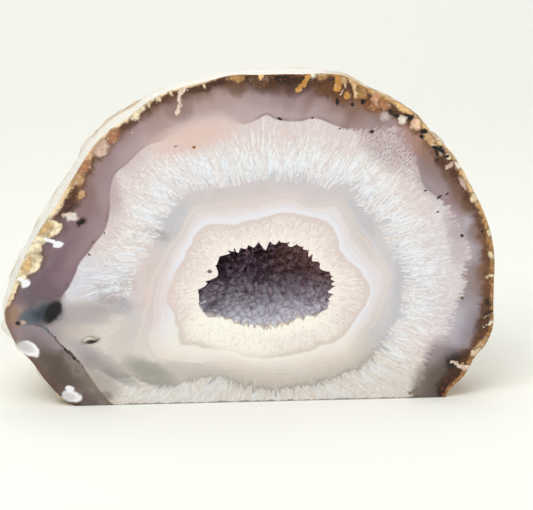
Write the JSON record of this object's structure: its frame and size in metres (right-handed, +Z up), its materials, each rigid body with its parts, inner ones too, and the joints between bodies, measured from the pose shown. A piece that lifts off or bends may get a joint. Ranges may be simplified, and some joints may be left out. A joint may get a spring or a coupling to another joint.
{
  "type": "agate geode end cut",
  "caption": "Self-standing agate geode with one polished banded face, a sawn flat base, natural rind behind and a crystal-lined hollow.",
  "frame": {"origin": "centre of the bounding box's underside, on the plane of the sawn base", "axes": "+Z up, polished face looks towards -Y, +X to the right seen from the front"},
  "size_m": [0.1122, 0.0538, 0.0753],
  "materials": {
    "agate": "banded chalcedony and quartz, polished on the cut face, rough brown rind elsewhere",
    "amethyst": "small glossy smoky violet quartz points"
  },
  "bodies": {
    "root": {"agate_stone": "agate", "amethyst_crust": "amethyst"}
  },
  "joints": []
}
